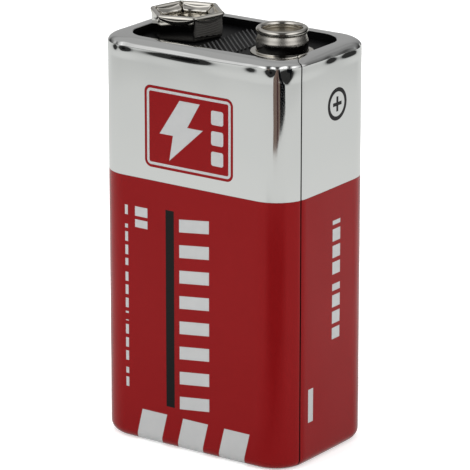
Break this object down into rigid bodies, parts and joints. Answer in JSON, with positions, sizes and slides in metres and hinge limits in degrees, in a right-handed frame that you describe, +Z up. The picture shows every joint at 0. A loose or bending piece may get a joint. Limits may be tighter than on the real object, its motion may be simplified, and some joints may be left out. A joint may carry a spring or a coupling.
{
  "type": "nine volt battery",
  "caption": "Rectangular alkaline battery in a wrapped tinplate jacket, with a snap stud and a snap socket on its black top plate.",
  "frame": {"origin": "middle of the underside, on the plane that the battery stands on", "axes": "+X across the terminals towards the stud, -Y out of the printed front face, +Z up"},
  "size_m": [0.0258, 0.0174, 0.0483],
  "materials": {
    "jacket": "glossy print on tinplate, bare bright metal on its upper third",
    "plate": "satin black",
    "terminal": "bright nickel plate",
    "strip": "nickel plated strip",
    "card": "matt card",
    "can": "nickel plated steel",
    "seal": "natural nylon",
    "cap": "tinned steel",
    "sleeve": "shrink film"
  },
  "bodies": {
    "root": {"jacket": "jacket", "top_plate": "plate", "bottom_plate": "plate", "positive_stud": "terminal", "negative_socket": "terminal", "positive_rivet": "strip", "negative_rivet": "strip", "positive_lead": "strip", "negative_lead": "strip", "top_insulator": "card", "bottom_insulator": "card", "top_link_1": "strip", "top_link_2": "strip", "bottom_link_1": "strip", "bottom_link_2": "strip", "bottom_link_3": "strip", "cell_1_can": "can", "cell_1_seal": "seal", "cell_1_cap": "cap", "cell_1_sleeve": "sleeve", "cell_2_can": "can", "cell_2_seal": "seal", "cell_2_cap": "cap", "cell_2_sleeve": "sleeve", "cell_3_can": "can", "cell_3_seal": "seal", "cell_3_cap": "cap", "cell_3_sleeve": "sleeve", "cell_4_can": "can", "cell_4_seal": "seal", "cell_4_cap": "cap", "cell_4_sleeve": "sleeve", "cell_5_can": "can", "cell_5_seal": "seal", "cell_5_cap": "cap", "cell_5_sleeve": "sleeve", "cell_6_can": "can", "cell_6_seal": "seal", "cell_6_cap": "cap", "cell_6_sleeve": "sleeve"}
  },
  "joints": []
}
